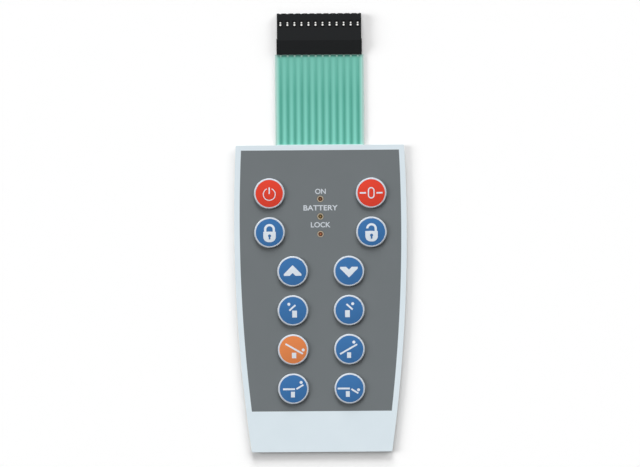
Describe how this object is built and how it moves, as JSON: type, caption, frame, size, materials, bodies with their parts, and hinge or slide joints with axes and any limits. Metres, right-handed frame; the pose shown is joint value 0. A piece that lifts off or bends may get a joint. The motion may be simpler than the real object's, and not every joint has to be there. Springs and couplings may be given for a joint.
{
  "type": "membrane keypad",
  "caption": "Flat adhesive-backed membrane keypad with embossed round keys, indicator windows, a flat film tail and a single-row socket connector.",
  "frame": {"origin": "middle of the panel's rear face, on the release liner", "axes": "+X across the panel to the right, +Y from the foot of the panel to the connector, +Z out of the printed face"},
  "size_m": [0.0622, 0.1583, 0.0029],
  "materials": {
    "liner_paper": "satin release paper",
    "foam_adhesive": "matte foam",
    "clear_film": "semi-gloss polyester film",
    "silver_ink": "satin printed silver",
    "turquoise_coat": "satin printed coat",
    "spacer_film": "clear film and adhesive",
    "overlay_film": "fine matte polyester film",
    "red_film": "fine matte polyester film",
    "blue_film": "fine matte polyester film",
    "orange_film": "fine matte polyester film",
    "dome_steel": "bright sheet steel",
    "led_body": "moulded resin",
    "black_moulding": "satin moulded plastic",
    "tinned_contact": "bright tin plate"
  },
  "bodies": {
    "panel": {"release_liner": "liner_paper", "rear_adhesive": "foam_adhesive", "circuit_film": "clear_film", "circuit_pads": "silver_ink", "tail_conductors": "silver_ink", "tail_cover_coat": "turquoise_coat", "dome_spacer": "spacer_film", "overlay_adhesive": "spacer_film", "graphic_overlay": "overlay_film", "dome_power": "dome_steel", "dome_level": "dome_steel", "dome_lock": "dome_steel", "dome_unlock": "dome_steel", "dome_up": "dome_steel", "dome_down": "dome_steel", "dome_tilt_left": "dome_steel", "dome_tilt_right": "dome_steel", "dome_head_down": "dome_steel", "dome_head_up": "dome_steel", "dome_back_up": "dome_steel", "dome_back_down": "dome_steel", "led_on": "led_body", "led_battery": "led_body", "led_lock": "led_body", "connector_housing": "black_moulding", "contact_01": "tinned_contact", "contact_02": "tinned_contact", "contact_03": "tinned_contact", "contact_04": "tinned_contact", "contact_05": "tinned_contact", "contact_06": "tinned_contact", "contact_07": "tinned_contact", "contact_08": "tinned_contact", "contact_09": "tinned_contact", "contact_10": "tinned_contact", "contact_11": "tinned_contact", "contact_12": "tinned_contact"},
    "key_power": {"key_power": "red_film"},
    "key_level": {"key_level": "red_film"},
    "key_lock": {"key_lock": "blue_film"},
    "key_unlock": {"key_unlock": "blue_film"},
    "key_up": {"key_up": "blue_film"},
    "key_down": {"key_down": "blue_film"},
    "key_tilt_left": {"key_tilt_left": "blue_film"},
    "key_tilt_right": {"key_tilt_right": "blue_film"},
    "key_head_down": {"key_head_down": "orange_film"},
    "key_head_up": {"key_head_up": "blue_film"},
    "key_back_up": {"key_back_up": "blue_film"},
    "key_back_down": {"key_back_down": "blue_film"}
  },
  "joints": [
    {"name": "press_power", "type": "slide", "parent": "panel", "child": "key_power", "axis": [0, 0, -1], "range_m": [0, 0.0005], "stiffness_N_per_m": 6000, "deforming": ["dome_power"]},
    {"name": "press_level", "type": "slide", "parent": "panel", "child": "key_level", "axis": [0, 0, -1], "range_m": [0, 0.0005], "stiffness_N_per_m": 6000, "deforming": ["dome_level"]},
    {"name": "press_lock", "type": "slide", "parent": "panel", "child": "key_lock", "axis": [0, 0, -1], "range_m": [0, 0.0005], "stiffness_N_per_m": 6000, "deforming": ["dome_lock"]},
    {"name": "press_unlock", "type": "slide", "parent": "panel", "child": "key_unlock", "axis": [0, 0, -1], "range_m": [0, 0.0005], "stiffness_N_per_m": 6000, "deforming": ["dome_unlock"]},
    {"name": "press_up", "type": "slide", "parent": "panel", "child": "key_up", "axis": [0, 0, -1], "range_m": [0, 0.0005], "stiffness_N_per_m": 6000, "deforming": ["dome_up"]},
    {"name": "press_down", "type": "slide", "parent": "panel", "child": "key_down", "axis": [0, 0, -1], "range_m": [0, 0.0005], "stiffness_N_per_m": 6000, "deforming": ["dome_down"]},
    {"name": "press_tilt_left", "type": "slide", "parent": "panel", "child": "key_tilt_left", "axis": [0, 0, -1], "range_m": [0, 0.0005], "stiffness_N_per_m": 6000, "deforming": ["dome_tilt_left"]},
    {"name": "press_tilt_right", "type": "slide", "parent": "panel", "child": "key_tilt_right", "axis": [0, 0, -1], "range_m": [0, 0.0005], "stiffness_N_per_m": 6000, "deforming": ["dome_tilt_right"]},
    {"name": "press_head_down", "type": "slide", "parent": "panel", "child": "key_head_down", "axis": [0, 0, -1], "range_m": [0, 0.0005], "stiffness_N_per_m": 6000, "deforming": ["dome_head_down"]},
    {"name": "press_head_up", "type": "slide", "parent": "panel", "child": "key_head_up", "axis": [0, 0, -1], "range_m": [0, 0.0005], "stiffness_N_per_m": 6000, "deforming": ["dome_head_up"]},
    {"name": "press_back_up", "type": "slide", "parent": "panel", "child": "key_back_up", "axis": [0, 0, -1], "range_m": [0, 0.0005], "stiffness_N_per_m": 6000, "deforming": ["dome_back_up"]},
    {"name": "press_back_down", "type": "slide", "parent": "panel", "child": "key_back_down", "axis": [0, 0, -1], "range_m": [0, 0.0005], "stiffness_N_per_m": 6000, "deforming": ["dome_back_down"]}
  ]
}
